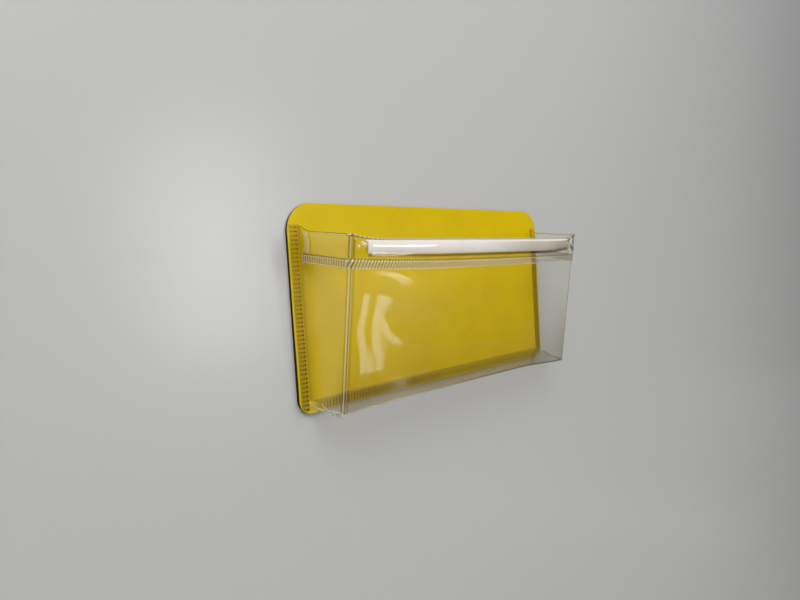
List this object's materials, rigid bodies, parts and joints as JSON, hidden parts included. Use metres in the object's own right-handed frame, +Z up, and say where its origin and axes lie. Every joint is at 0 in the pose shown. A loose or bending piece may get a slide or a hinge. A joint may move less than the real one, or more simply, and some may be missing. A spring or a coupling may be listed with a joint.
{
  "type": "magnetic document pocket",
  "caption": "Clear film pocket on a flat magnetic sheet, open at the top, with a label strip that slides in a sleeve along its rim.",
  "frame": {"origin": "centre of the magnetic back face", "axes": "+X to the right seen from the front, +Y out of the back into the steel surface, +Z up"},
  "size_m": [0.24, 0.047, 0.121],
  "materials": {
    "magnetic_rubber": "dark, matt, slightly rough magnetic rubber with a cut edge",
    "yellow_facing": "smooth satin plastic facing, evenly coloured",
    "clear_film": "glossy clear soft plastic film, faintly smoky, softly rippled",
    "welded_film": "clear film pressed into close ribs by the welding bar",
    "label_paper": "plain white label card, no print"
  },
  "bodies": {
    "pocket": {"magnet_sheet": "magnetic_rubber", "yellow_facing": "yellow_facing", "front_panel": "clear_film", "bottom_panel": "clear_film", "bottom_crease": "clear_film", "bottom_root_fold": "clear_film", "front_rim_weld": "clear_film", "front_sleeve_foot": "clear_film", "front_sleeve": "clear_film", "front_sleeve_top": "clear_film", "left_gusset": "clear_film", "left_corner_fold": "clear_film", "left_root_fold": "clear_film", "left_sleeve": "clear_film", "left_rim_weld": "clear_film", "right_gusset": "clear_film", "right_corner_fold": "clear_film", "right_root_fold": "clear_film", "right_sleeve": "clear_film", "right_rim_weld": "clear_film", "bottom_weld": "welded_film", "front_hem_weld": "welded_film", "left_weld": "welded_film", "left_hem_weld": "welded_film", "left_bottom_seam": "welded_film", "right_weld": "welded_film", "right_hem_weld": "welded_film", "right_bottom_seam": "welded_film"},
    "label": {"label_strip": "label_paper"}
  },
  "joints": [
    {"name": "label_slide", "type": "slide", "parent": "pocket", "child": "label", "axis": [1, 0, 0], "range_m": [-0.008, 0.008]}
  ]
}
